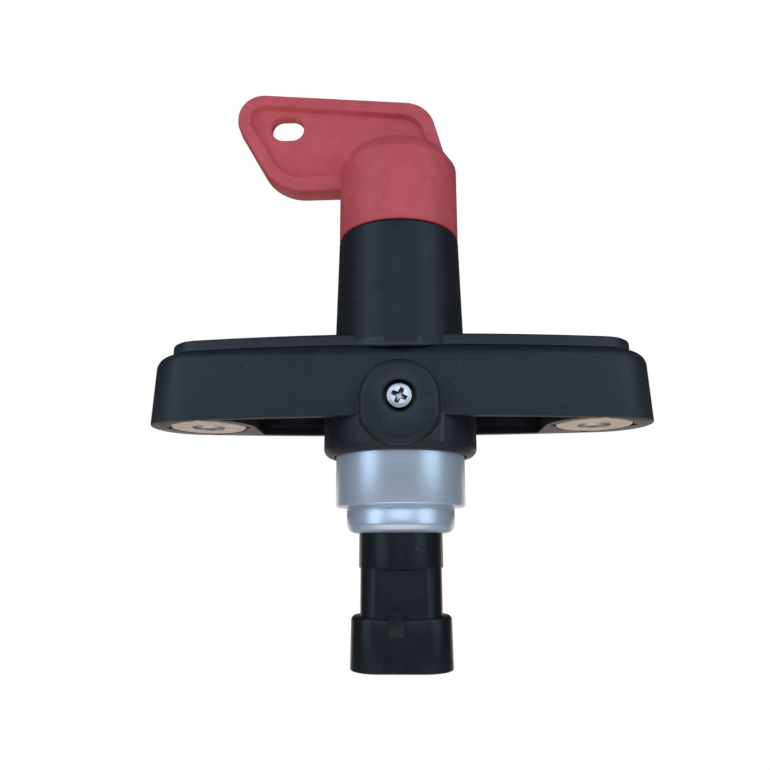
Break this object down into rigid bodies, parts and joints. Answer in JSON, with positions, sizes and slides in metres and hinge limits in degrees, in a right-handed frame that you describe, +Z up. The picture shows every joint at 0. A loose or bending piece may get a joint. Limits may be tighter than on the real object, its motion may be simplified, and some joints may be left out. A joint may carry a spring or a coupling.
{
  "type": "battery switch",
  "caption": "Battery isolator: long bar housing with screw terminals below, tall neck with a removable flag key, auxiliary switch can and connector below.",
  "frame": {"origin": "on the key's axis, in the plane of the terminal faces under the bar", "axes": "+Z up along the key's axis, X along the bar from terminal to terminal, -Y towards the can's screw boss"},
  "size_m": [0.1184, 0.0379, 0.142],
  "materials": {
    "black_housing": "matte glass-filled",
    "black_cover": "matte moulded",
    "red_plastic": "matte moulded",
    "black_connector": "satin moulded",
    "aluminium": "fine turned",
    "tinned_brass": "dull plated",
    "zinc_steel": "plated",
    "copper": "bare copper",
    "silver_contact": "contact silver",
    "spring_steel": "drawn wire",
    "natural_nylon": "moulded",
    "dark_nylon": "moulded",
    "black_rubber": "moulded",
    "brown_rubber": "moulded",
    "tinned_pin": "plated"
  },
  "bodies": {
    "housing": {"base_housing": "black_housing", "cover": "black_cover", "cover_gasket": "black_rubber", "cover_screws": "zinc_steel", "left_terminal": "tinned_brass", "right_terminal": "tinned_brass", "left_busbar": "copper", "right_busbar": "copper", "left_contact_tip": "silver_contact", "right_contact_tip": "silver_contact", "thrust_washer": "natural_nylon", "return_spring": "spring_steel", "can": "aluminium", "can_seal": "black_rubber", "can_screw": "zinc_steel", "aux_block": "dark_nylon", "block_ring": "spring_steel", "aux_spring": "spring_steel", "left_pin": "tinned_pin", "right_pin": "tinned_pin", "connector": "black_connector", "connector_seal": "brown_rubber"},
    "key": {"key": "red_plastic"},
    "spindle": {"spindle": "natural_nylon", "spindle_seal": "black_rubber", "cam_pin": "zinc_steel"},
    "carrier": {"contact_carrier": "dark_nylon", "contact_bridge": "copper", "left_bridge_tip": "silver_contact", "right_bridge_tip": "silver_contact", "pressure_spring": "spring_steel", "spring_seat": "zinc_steel"},
    "plunger": {"aux_plunger": "natural_nylon", "aux_contact_disc": "copper"}
  },
  "joints": [
    {"name": "spindle_turn", "type": "hinge", "parent": "housing", "child": "spindle", "pos_m": [0, 0, 0.04], "axis": [0, 0, -1], "range_deg": [0, 90]},
    {"name": "key_pull", "type": "slide", "parent": "spindle", "child": "key", "axis": [0, 0, 1], "range_m": [0, 0.026]},
    {"name": "carrier_slide", "type": "slide", "parent": "housing", "child": "carrier", "axis": [0, 0, -1], "range_m": [0, 0.003], "deforming": ["return_spring"]},
    {"name": "plunger_slide", "type": "slide", "parent": "housing", "child": "plunger", "axis": [0, 0, -1], "range_m": [0, 0.003], "deforming": ["aux_spring"]}
  ],
  "couplings": [
    {"joint": "carrier_slide", "follows": "spindle_turn", "m_per_rad": 0.0019099},
    {"joint": "plunger_slide", "follows": "spindle_turn", "m_per_rad": 0.0019099}
  ]
}
